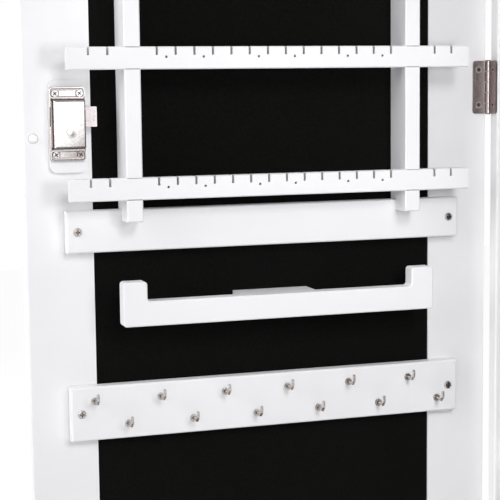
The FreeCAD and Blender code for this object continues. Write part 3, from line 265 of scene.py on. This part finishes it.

# %% [markdown]
# ## Finishes
# Each finish is a small tree of nodes. Texture coordinates are the object's own, in metres, so the grain
# has its real scale and stays on a piece when the piece moves. Image textures would need an unwrapped
# mesh; noise in space needs none. The helpers make a noise, spread colours over it, paint shade into
# recesses, let the roughness wander and raise a bump.

# %% Helpers for finishes
def texture_place(tree, stretch=(1, 1, 1)):
    """Object coordinates in metres, stretched per axis."""
    coordinates = tree.nodes.new("ShaderNodeTexCoord")
    mapping = tree.nodes.new("ShaderNodeMapping")
    mapping.inputs["Scale"].default_value = stretch
    tree.links.new(coordinates.outputs["Object"], mapping.inputs["Vector"])
    return mapping.outputs["Vector"]


def add_noise(tree, place, scale, detail=3):
    """A noise between 0 and 1; scale is in waves per metre."""
    noise = tree.nodes.new("ShaderNodeTexNoise")
    noise.inputs["Scale"].default_value = scale
    noise.inputs["Detail"].default_value = detail
    tree.links.new(place, noise.inputs["Vector"])
    return noise.outputs["Fac"]


def colour_ramp(tree, factor, first, second, start=0.35, end=0.65):
    """The first colour below the start of a factor and the second above its end."""
    ramp = tree.nodes.new("ShaderNodeValToRGB")
    for element, position, colour in zip(ramp.color_ramp.elements, (start, end), (first, second)):
        element.position = position
        element.color = (*colour, 1)
    tree.links.new(factor, ramp.inputs["Fac"])
    return ramp.outputs["Color"]


def speckle(tree, place, first, second, scale=900):
    """Two colours over a detailed noise."""
    return colour_ramp(tree, add_noise(tree, place, scale, detail=4), first, second, start=0.38, end=0.62)


def mix_colours(tree, factor, first, second):
    """Go from the first colour to the second with a factor; each is a value or a socket."""
    mix = tree.nodes.new("ShaderNodeMix")
    mix.data_type = "RGBA"
    colour_a, colour_b, result = mix.inputs[6], mix.inputs[7], mix.outputs[2]
    tree.links.new(factor, mix.inputs["Factor"])
    for value, socket in ((first, colour_a), (second, colour_b)):
        if isinstance(value, tuple):
            socket.default_value = (*value, 1)
        else:
            tree.links.new(value, socket)
    return result


def painted_recess_shade(tree, colour, shade_colour, reach, low, high):
    """A colour that turns to a dark shade colour in recesses narrower than the reach: painted shade."""
    hidden = tree.nodes.new("ShaderNodeAmbientOcclusion")
    hidden.samples = 12
    hidden.inputs["Distance"].default_value = reach
    return mix_colours(tree, climb(tree, hidden.outputs["AO"], low, high), shade_colour, colour)


def colour_by(tree, shader, colour):
    """Let a colour socket set the surface's colour."""
    tree.links.new(colour, shader.inputs["Base Color"])


def rough_by(tree, shader, noise, smooth, rough):
    """Let the roughness wander between two values with a noise."""
    tree.links.new(climb(tree, noise, 0.3, 0.7, smooth, rough), shader.inputs["Roughness"])


def bump_by(tree, shader, height, depth, strength=1.0):
    """Raise the surface by a height texture; depth is in metres."""
    bump = tree.nodes.new("ShaderNodeBump")
    bump.inputs["Strength"].default_value = strength
    bump.inputs["Distance"].default_value = depth
    tree.links.new(height, bump.inputs["Height"])
    tree.links.new(bump.outputs["Normal"], shader.inputs["Normal"])


print("finish helpers:", speckle.__name__, painted_recess_shade.__name__, rough_by.__name__, bump_by.__name__)

# %% [markdown]
# ### White lacquer
# The frame, racks and panels are fibreboard sprayed with satin white lacquer. Sprayed lacquer has a faint
# orange peel, and its white is never quite even. One flat white would do from afar, but it looks computed
# up close, so a broad noise shifts the tint a little and a fine one gives the peel. Narrow gaps, such as
# the notches of the racks, turn grey with painted shade. On the real cabinet the box has the same lacquer.
# Its edge is pure white in the photograph and came out too dark here, so the outer panels have a brighter
# copy of it, which is painted light.

# %% White lacquer
def make_lacquer(name, bright, dark):
    """Satin white lacquer with orange peel and a faint unevenness."""
    material, tree, shader = new_material(name)
    place = texture_place(tree)
    coat = speckle(tree, place, bright, dark, scale=9)
    # Narrow gaps and notches turn grey: painted shade.
    colour_by(tree, shader, painted_recess_shade(tree, coat, (0.16, 0.155, 0.155), reach=1.5 * MM, low=0.25, high=0.62))
    rough_by(tree, shader, add_noise(tree, place, 60), smooth=0.42, rough=0.54)
    bump_by(tree, shader, add_noise(tree, place, 1400, detail=2), depth=0.03 * MM, strength=0.5)
    shader.inputs["Specular IOR Level"].default_value = 0.35
    return material


LACQUER = make_lacquer("white_lacquer", bright=(0.865, 0.862, 0.88), dark=(0.842, 0.838, 0.857))
# A brighter copy of the same lacquer for the box's outer panels: painted light.
PAINTED_LIGHT_BOX_LACQUER = make_lacquer("box_lacquer_painted_light", bright=(0.965, 0.965, 0.965), dark=(0.95, 0.95, 0.95))
print("lacquers:", LACQUER.name, PAINTED_LIGHT_BOX_LACQUER.name)

# %% [markdown]
# ### Black velvet
# The backing panel and the lining are covered with short black pile. Hair particles could make real pile,
# but at this distance it shows only as a very dark surface with a soft sheen at a slant. Fine noise breaks
# up the surface, and a slow one shows where the pile was brushed.

# %% Black velvet
def make_velvet():
    """Short black pile with a soft sheen and brushed patches."""
    material, tree, shader = new_material("black_velvet")
    place = texture_place(tree)
    pile = add_noise(tree, place, 700, detail=4)
    colour_by(tree, shader, colour_ramp(tree, pile, (0.0030, 0.0030, 0.0028), (0.0062, 0.0062, 0.0057)))
    rough_by(tree, shader, add_noise(tree, place, 14, detail=2), smooth=0.85, rough=1.0)
    bump_by(tree, shader, add_noise(tree, place, 2600, detail=2), depth=0.4 * MM, strength=0.8)
    shader.inputs["Specular IOR Level"].default_value = 0.04
    shader.inputs["Sheen Weight"].default_value = 0.02
    shader.inputs["Sheen Roughness"].default_value = 0.45
    return material


VELVET = make_velvet()
print("velvet:", VELVET.name)

# %% [markdown]
# ### Metals
# The hinges and screws are plated steel with fine handling marks. Recesses and seams get painted shade.
# Those lines could be modelled one by one, but an occlusion node finds them all: it draws the crosses of
# the screws, the gaps between the knuckles and the edges of the lock. Bolt and lock screws are the same
# steel in brighter platings.

# %% Metals
def make_metal(name, bright, dark, shade_colour, smooth, rough, reach, low, high):
    """Plated steel with fine handling marks and painted shade in recesses."""
    material, tree, shader = new_material(name)
    place = texture_place(tree)
    # Recesses turn to the dark colour: painted shade.
    colour_by(tree, shader, painted_recess_shade(tree, speckle(tree, place, bright, dark), shade_colour, reach, low, high))
    rough_by(tree, shader, add_noise(tree, place, 500), smooth, rough)
    bump_by(tree, shader, add_noise(tree, place, 1500, detail=2), depth=0.02 * MM, strength=0.3)
    shader.inputs["Metallic"].default_value = 1.0
    return material


HINGE_STEEL = make_metal("hinge_steel", bright=(0.42, 0.36, 0.35), dark=(0.33, 0.28, 0.27),
                         shade_colour=(0.02, 0.015, 0.014), smooth=0.3, rough=0.44, reach=1.2 * MM, low=0.5, high=0.9)
SCREW_STEEL = make_metal("screw_steel", bright=(0.62, 0.57, 0.55), dark=(0.38, 0.35, 0.33),
                         shade_colour=(0.03, 0.024, 0.022), smooth=0.22, rough=0.36, reach=1.2 * MM, low=0.6,
                         high=0.92)
BOLT_STEEL = make_metal("bolt_steel", bright=(0.52, 0.47, 0.475), dark=(0.47, 0.425, 0.43),
                        shade_colour=(0.1, 0.08, 0.075), smooth=0.26, rough=0.38, reach=1.2 * MM, low=0.5, high=0.9)
LOCK_SCREW = make_metal("lock_screw", bright=(0.90, 0.87, 0.86), dark=(0.76, 0.73, 0.71),
                        shade_colour=(0.05, 0.035, 0.03), smooth=0.2, rough=0.3, reach=1.1 * MM, low=0.6, high=0.92)
print("metals:", HINGE_STEEL.name, SCREW_STEEL.name, BOLT_STEEL.name, LOCK_SCREW.name)

# %% [markdown]
# ### Bright nickel
# The lock's raised cover and pressed bars are polished and nearly white, while the flange below them is
# duller and the folded walls get painted shade, a near black. Each face could get its own material by hand.
# The height above the door and the direction of a face already tell them apart, so one material does it.
# In the photograph the cover darkens towards its lower corner at the bolt and in a spot below the rivet,
# most likely since it mirrors something dark. This plain studio has nothing dark to mirror, so both are
# painted into the material as a dark reflection.

# %% Places on the lock
FLANGE_THICK = 1.6 * MM
COVER_HEIGHT = 6 * MM
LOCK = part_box("lock_case")
LOCK_MID = (LOCK[0] + LOCK[1]) / 2
FLANGE_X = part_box("packer_plate")[1].x + FLANGE_THICK
print("lock middle:", [round(value, 4) for value in LOCK_MID], "flange at x =", round(FLANGE_X, 4))


# %% Bright nickel
def shaded_cover(tree, place, object_place, grain):
    """Polished nickel with a painted dark reflection towards the lower corner at the bolt and in a spot below
    the rivet.
    """
    # A painted dark reflection that grows towards the lower corner at the bolt.
    aside = combine(tree, "SUBTRACT", place.outputs["Y"], LOCK_MID.y)
    below = combine(tree, "SUBTRACT", LOCK_MID.z, place.outputs["Z"])
    along = combine(tree, "ADD", aside, combine(tree, "MULTIPLY", below, 0.8))
    uneven = combine(tree, "ADD", combine(tree, "MULTIPLY", add_noise(tree, grain, 2200, detail=4), 0.3), 0.8)
    shade = combine(tree, "MULTIPLY", climb(tree, along, -1 * MM, 24 * MM), uneven)
    cover = mix_colours(tree, shade, (0.985, 0.972, 0.975), (0.34, 0.31, 0.305))
    # A painted dark reflection in a spot below the rivet, on the cover's top.
    spot = tree.nodes.new("ShaderNodeVectorMath")
    spot.operation = "DISTANCE"
    spot.inputs[1].default_value = (FLANGE_X + COVER_HEIGHT, LOCK_MID.y + 2.1 * MM, LOCK_MID.z - 7.4 * MM)
    tree.links.new(object_place, spot.inputs[0])
    near = climb(tree, spot.outputs["Value"], 3.6 * MM, 0.8 * MM)
    flat = climb(tree, place.outputs["X"], FLANGE_X + COVER_HEIGHT + 0.5 * MM,
                 FLANGE_X + COVER_HEIGHT + 0.2 * MM)
    return mix_colours(tree, combine(tree, "MULTIPLY", near, flat), cover, (0.30, 0.27, 0.265))


def make_nickel():
    """Bright nickel: polished where it stands proud, dull on flanges, painted shade on its walls and in
    seams.
    """
    material, tree, shader = new_material("bright_nickel")
    coordinates = tree.nodes.new("ShaderNodeTexCoord")
    place, facing = (tree.nodes.new("ShaderNodeSeparateXYZ") for _ in range(2))
    tree.links.new(coordinates.outputs["Object"], place.inputs[0])
    tree.links.new(coordinates.outputs["Normal"], facing.inputs[0])
    grain = texture_place(tree)
    raised = climb(tree, place.outputs["X"], FLANGE_X + 0.1 * MM, FLANGE_X + 0.6 * MM)
    proud = combine(tree, "MULTIPLY", raised, climb(tree, facing.outputs["X"], 0.6, 0.9))
    upright = combine(tree, "ABSOLUTE", facing.outputs["Z"], 0)
    turned = climb(tree, combine(tree, "MAXIMUM", facing.outputs["Y"], upright), 0.25, 0.5)
    flange = speckle(tree, grain, (0.60, 0.54, 0.525), (0.45, 0.40, 0.385))
    # Faces that turn sideways, the folded walls, get a near black: painted shade.
    folded = mix_colours(tree, turned, flange, (0.12, 0.085, 0.075))
    body = mix_colours(tree, proud, folded, shaded_cover(tree, place, coordinates.outputs["Object"], grain))
    # Seams and recesses turn dark brown: painted shade.
    colour_by(tree, shader, painted_recess_shade(tree, body, (0.10, 0.07, 0.06), reach=1.6 * MM, low=0.3, high=0.75))
    rough_by(tree, shader, add_noise(tree, grain, 600), smooth=0.2, rough=0.32)
    bump_by(tree, shader, add_noise(tree, grain, 1500, detail=2), depth=0.02 * MM, strength=0.3)
    shader.inputs["Metallic"].default_value = 1.0
    return material


NICKEL = make_nickel()
print("nickel:", NICKEL.name)

# %% [markdown]
# ### Mirror and bumpers
# A mirror is silver behind glass. It could be a glass sheet over a metal one, but the two only show as one
# clear reflection, so it is a very smooth metal with a faint cool tint. Faint wiping marks keep it from
# looking computed. The bumpers are soft white plastic that light enters a little.

# %% Mirror and bumpers
def make_mirror():
    """Silvered glass with faint wiping marks."""
    material, tree, shader = new_material("mirror_silver")
    place = texture_place(tree, (1, 3, 1))
    silver = colour_ramp(tree, add_noise(tree, place, 5), (0.90, 0.92, 0.92), (0.88, 0.90, 0.905))
    colour_by(tree, shader, silver)
    rough_by(tree, shader, add_noise(tree, place, 18, detail=5), smooth=0.012, rough=0.035)
    shader.inputs["Metallic"].default_value = 1.0
    return material


def make_bumper_plastic():
    """Soft white plastic."""
    material, tree, shader = new_material("white_bumper")
    place = texture_place(tree)
    white = colour_ramp(tree, add_noise(tree, place, 300, detail=2), (0.93, 0.93, 0.93), (0.9, 0.9, 0.9))
    colour_by(tree, shader, white)
    bump_by(tree, shader, add_noise(tree, place, 900, detail=2), depth=0.02 * MM, strength=0.4)
    shader.inputs["Roughness"].default_value = 0.4
    shader.inputs["Subsurface Weight"].default_value = 0.15
    shader.inputs["Subsurface Scale"].default_value = 2 * MM
    return material


MIRROR = make_mirror()
BUMPER = make_bumper_plastic()
print("mirror and bumpers:", MIRROR.name, BUMPER.name)

# %% [markdown]
# ## Dressing the solids
# A solid keeps its mesh and gets its finish by slot. The record says which slot each node has, so a list
# by hand isn't needed. Only the lock's screws, its bolt and the box's outer panels differ from their slot.

# %% Finishes on the solids
FINISHES = {
    "white_lacquer": LACQUER, "black_velvet": VELVET, "mirror": MIRROR, "nickel": NICKEL,
    "hinge_steel": HINGE_STEEL, "screw_steel": SCREW_STEEL, "white_rubber": BUMPER,
}
# The box's outer panels get the brighter copy of the lacquer, which is painted light.
OWN_FINISHES = {
    "lock_screws": LOCK_SCREW, "lock_bolt": BOLT_STEEL, "side_panel_left": PAINTED_LIGHT_BOX_LACQUER,
    "side_panel_right": PAINTED_LIGHT_BOX_LACQUER, "top_panel": PAINTED_LIGHT_BOX_LACQUER, "bottom_panel": PAINTED_LIGHT_BOX_LACQUER,
}


def dress(node, material):
    """Give a solid one finish."""
    mesh = NODES[node].data
    mesh.materials.clear()
    mesh.materials.append(material)


for part in frame["record"]["subparts"]:
    dress(part["node"], OWN_FINISHES.get(part["node"], FINISHES[part["material_slot"]]))

# %% [markdown]
# ## Thin plates and rings
# Some details are tenths of a millimetre thin: pressed beads, dark folds, the shine of a rim. They could
# be painted into a material, but real edges catch real light and stay sharp in a close view. The beads are
# real nickel; the dark folds and the shine of a rim are thin plates of painted shade and painted shine. All
# of them lie flat on the door, so each is an outline with a low and a high level. Outlines are given in
# millimetres right of and above a middle, and levels in millimetres above a face.

# %% Outlines, plates and rings
def on_lock(across, up):
    """A place given in millimetres right of and above the middle of the lock."""
    return LOCK_MID.y + across * MM, LOCK_MID.z + up * MM


def rounded(left, right, low, high, radius, steps=4, middle=on_lock(0, 0)):
    """A rectangle with round corners, in millimetres from a middle."""
    points = []
    for turn, (across, up) in enumerate(((right, high), (left, high), (left, low), (right, low))):
        corner = (across - math.copysign(radius, across - (left + right) / 2),
                  up - math.copysign(radius, up - (low + high) / 2))
        for step in range(steps + 1):
            angle = math.pi / 2 * (turn + step / steps)
            points.append((middle[0] + (corner[0] + radius * math.cos(angle)) * MM,
                           middle[1] + (corner[1] + radius * math.sin(angle)) * MM))
    return points


def disc(radius, middle, steps=6):
    """A round outline; steps counts the sides of a quarter."""
    return rounded(-radius, radius, -radius, radius, radius - 0.01, steps, middle)


def add_ring(mesh, outer, inner, face, low, high):
    """A flat ring between two outlines with equal counts, on a face."""
    count = len(outer)
    foot, top = face + low * MM, face + high * MM
    rows = [[mesh.verts.new((level, *point)) for point in loop]
            for loop, level in ((outer, top), (inner, top), (inner, foot), (outer, foot))]
    for row, below in zip(rows, rows[1:] + rows[:1]):
        for index in range(count):
            after = (index + 1) % count
            mesh.faces.new((row[index], row[after], below[after], below[index]))


def add_plate(mesh, outline, face, low, high):
    """A flat plate with an outline, on a face."""
    top = [mesh.verts.new((face + high * MM, *point)) for point in outline]
    foot = [mesh.verts.new((face + low * MM, *point)) for point in outline]
    mesh.faces.new(top)
    mesh.faces.new(foot)
    for index in range(len(outline)):
        after = (index + 1) % len(outline)
        mesh.faces.new((top[index], top[after], foot[after], foot[index]))


def add_cross(mesh, middle, turn, reach, half, face, low, high):
    """A cross recess filled with shade: two thin bars; turn in degrees, one bar a hair above the other."""
    for step, arm in enumerate((math.radians(turn), math.radians(turn + 90))):
        along = (math.cos(arm) * reach, math.sin(arm) * reach)
        aside = (-math.sin(arm) * half, math.cos(arm) * half)
        corners = [(middle[0] + (way * along[0] + side * aside[0]) * MM,
                    middle[1] + (way * along[1] + side * aside[1]) * MM)
                   for way, side in ((1, 1), (-1, 1), (-1, -1), (1, -1))]
        add_plate(mesh, corners, face, low, high + 0.02 * step)


def finish_piece(name, mesh, material):
    """Make an object of a mesh, give it its finish and let it ride on the door."""
    bmesh.ops.recalc_face_normals(mesh, faces=mesh.faces)
    data = bpy.data.meshes.new(name)
    mesh.to_mesh(data)
    mesh.free()
    data.materials.append(material)
    piece = bpy.data.objects.new(name, data)
    bpy.context.scene.collection.objects.link(piece)
    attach(piece, "door")
    return piece


print("plate helpers:", rounded.__name__, disc.__name__, add_ring.__name__, add_plate.__name__)

# %% [markdown]
# ## Fine pieces of the lock
# The two flanges of the case are pressed like shallow trays: a bright bead runs along their edge, and the
# fold inside it is dark. The folded cover leaves a dark gap at its foot, two small holes at its corners
# and a slit in its side. The screws and the rivet carry polished caps, and the screws have dark crosses.
# The dark fold, gap, holes, slit and crosses are thin dark plates of painted shade. The imported case
# could carry all this, but it would cost faces that don't show from a step away.

# %% Colours of painted shade and painted shine
def make_painted_light_colour(name, bright, dark):
    """A dull flat colour for thin plates of painted shade and painted shine."""
    material, tree, shader = new_material(name)
    colour_by(tree, shader, colour_ramp(tree, add_noise(tree, texture_place(tree), 900), bright, dark))
    shader.inputs["Roughness"].default_value = 0.6
    return material


# Dark plates: painted shade in folds, gaps, holes, slits, slots and crosses. Pale plates: painted shine on
# the hinges and painted shade round the bumpers.
PAINTED_SHADE = make_painted_light_colour("painted_shade_dark", bright=(0.07, 0.052, 0.047), dark=(0.03, 0.022, 0.02))
PAINTED_SHINE_AND_SHADE = make_painted_light_colour("painted_shine_and_shade_pale", bright=(0.5, 0.5, 0.51), dark=(0.42, 0.42, 0.43))
print("seams:", PAINTED_SHADE.name, PAINTED_SHINE_AND_SHADE.name)

# %% Beads and folds of the flanges
FLANGE_HALF = 12.9
FLANGE_ENDS = ((18.9, 26.6), (-26.6, -18.9))
SUNK = -0.1
BEADS, FOLD_SHADE, CAPS = bmesh.new(), bmesh.new(), bmesh.new()


def tray(low, high, aside, below, above, radius):
    """The outline of a flange, drawn in at its sides, below and above."""
    return rounded(aside - FLANGE_HALF, FLANGE_HALF - aside, low + below, high - above, radius)


# The bead is nickel; the dark ring inside it is painted shade in the fold.
for low, high in FLANGE_ENDS:
    add_ring(BEADS, tray(low, high, 0, 0, 0, 2.2), tray(low, high, 0.7, 0.5, 0.8, 1.6), FLANGE_X, SUNK, 0.45)
    add_ring(FOLD_SHADE, tray(low, high, 0.65, 0.45, 0.75, 1.6), tray(low, high, 1.1, 0.95, 1.25, 1.3), FLANGE_X,
             SUNK, 0.12)
print("flange outlines:", len(FLANGE_ENDS), "bead points:", len(BEADS.verts))

# %% Gap, slit and holes round the cover
COVER_LEFT, COVER_RIGHT, COVER_HALF = -10.7, 12.3, 17.25
HOLE_ACROSS, HOLE_RADIUS = -11.3, 0.9

# Dark plates of painted shade: the gap at the cover's foot, the slit and the corner holes.
add_ring(FOLD_SHADE, rounded(COVER_LEFT - 0.4, COVER_RIGHT + 0.7, -COVER_HALF - 0.9, COVER_HALF + 0.9, 1.0),
         rounded(COVER_LEFT + 0.1, COVER_RIGHT - 0.1, 0.1 - COVER_HALF, COVER_HALF - 0.1, 0.3),
         FLANGE_X, SUNK, 0.25)
add_plate(FOLD_SHADE, rounded(-12.8, -12.2, -1.7, 12.6, 0.28, 2), FLANGE_X, SUNK, 0.08)
for up in (17.6, -17.7):
    add_plate(FOLD_SHADE, disc(HOLE_RADIUS, on_lock(HOLE_ACROSS, up), 4), FLANGE_X, SUNK, 0.4)
print("fold points:", len(FOLD_SHADE.verts))

# %% Caps and crosses of the screws, cap of the rivet
SCREW_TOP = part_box("lock_screws")[1].x
SCREW_ACROSS, SCREW_UP = 9, 22.1
CAP_RADIUS = 2.3
RIVET = on_lock(0, -5.7)

for side, end, turn in ((-1, 1, 40), (1, 1, 52), (-1, -1, 35), (1, -1, 60)):
    screw = on_lock(side * SCREW_ACROSS, end * SCREW_UP)
    add_plate(CAPS, disc(CAP_RADIUS, screw), SCREW_TOP, SUNK, 0.1)
    # Dark crosses of painted shade on the screws.
    add_cross(FOLD_SHADE, screw, turn, 1.75, 0.42, SCREW_TOP, 0, 0.14)
for radius, low, high in ((2.05, SUNK, 0.7), (1.6, 0.6, 1.02)):
    add_plate(CAPS, disc(radius, RIVET), FLANGE_X + COVER_HEIGHT, low, high)
beads = finish_piece("lock_beads", BEADS, NICKEL)
caps = finish_piece("lock_screw_caps", CAPS, NICKEL)
folds = finish_piece("lock_painted_shade", FOLD_SHADE, PAINTED_SHADE)
print("fine lock pieces:", beads.name, caps.name, folds.name)

# %% [markdown]
# ## Fine pieces of the hinges and bumpers
# The rims of the countersunk hinge screws shine and their crosses are dark. Between the door's leaf and
# the knuckles of the other leaf there is a dark slot, and the leaf's cut edge beside it is bright. Round
# the foot of a bumper a thin grey line shows. A sharper lamp could draw these lines as reflections, but it
# would spoil the soft whites round them, so thin plates and rings do it here too: pale ones are painted
# shine on the hinges and painted shade round the bumpers, and dark ones are painted shade in the slots
# and crosses.

# %% Hinge details
SLOT_SHADE, HINGE_SHINE = bmesh.new(), bmesh.new()
BARREL_RADIUS = 2.3
LEAF_THICK = 1.4
KNUCKLE = 41.5 / 5
SCREW_IN = 7.9
SCREW_HALF = 13.9

for level in ("bottom", "middle", "top"):
    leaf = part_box("hinge_leaf_door_" + level)
    axis = (leaf[1].y - BARREL_RADIUS * MM, (leaf[0].z + leaf[1].z) / 2)
    leaf_top = DOOR_FACE_X + LEAF_THICK * MM
    for low in (-2.5 * KNUCKLE, -0.5 * KNUCKLE, 1.5 * KNUCKLE):
        # Dark plates of painted shade in the slot, pale plates of painted shine on the leaf's cut edge.
        add_plate(SLOT_SHADE, rounded(-2.75, -1.95, low + 0.2, low + KNUCKLE - 0.2, 0.1, 1, axis),
                  DOOR_FACE_X, 0, 0.2)
        add_plate(HINGE_SHINE, rounded(-3.25, -2.75, low + 0.4, low + KNUCKLE - 0.4, 0.1, 1, axis),
                  leaf_top, -0.05, 0.06)
    for side in (-1, 1):
        screw = (axis[0] - SCREW_IN * MM, axis[1] + side * SCREW_HALF * MM)
        # A pale ring of painted shine on each screw rim and a dark cross of painted shade.
        add_ring(HINGE_SHINE, disc(2.6, screw, 5), disc(2.15, screw, 5), leaf_top, -0.05, 0.06)
        add_cross(SLOT_SHADE, screw, 35 + 20 * side, 1.3, 0.36, leaf_top, SUNK, 0.03)
slots = finish_piece("hinge_slot_painted_shade", SLOT_SHADE, PAINTED_SHADE)
shine = finish_piece("hinge_painted_shine", HINGE_SHINE, PAINTED_SHINE_AND_SHADE)
print("fine hinge pieces:", slots.name, shine.name)

# %% Rings round the bumpers
BUMPER_RING_SHADE = bmesh.new()
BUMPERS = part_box("bumpers")
BUMPER_Y = (BUMPERS[0].y + BUMPERS[1].y) / 2
OUTER_BUMPER_Z = BUMPERS[1].z - (BUMPERS[1].y - BUMPERS[0].y) / 2
MIDDLE_BUMPER_Z = -32.9 * MM

for height in (-OUTER_BUMPER_Z, MIDDLE_BUMPER_Z, OUTER_BUMPER_Z):
    foot = (BUMPER_Y, height)
    # A pale grey ring round each bumper's foot: painted shade.
    add_ring(BUMPER_RING_SHADE, disc(3.8, foot), disc(3.35, foot), DOOR_FACE_X, -0.05, 0.05)
rings = finish_piece("bumper_painted_shade_rings", BUMPER_RING_SHADE, PAINTED_SHINE_AND_SHADE)
print("bumper rings:", rings.name)

# %% json module
import json
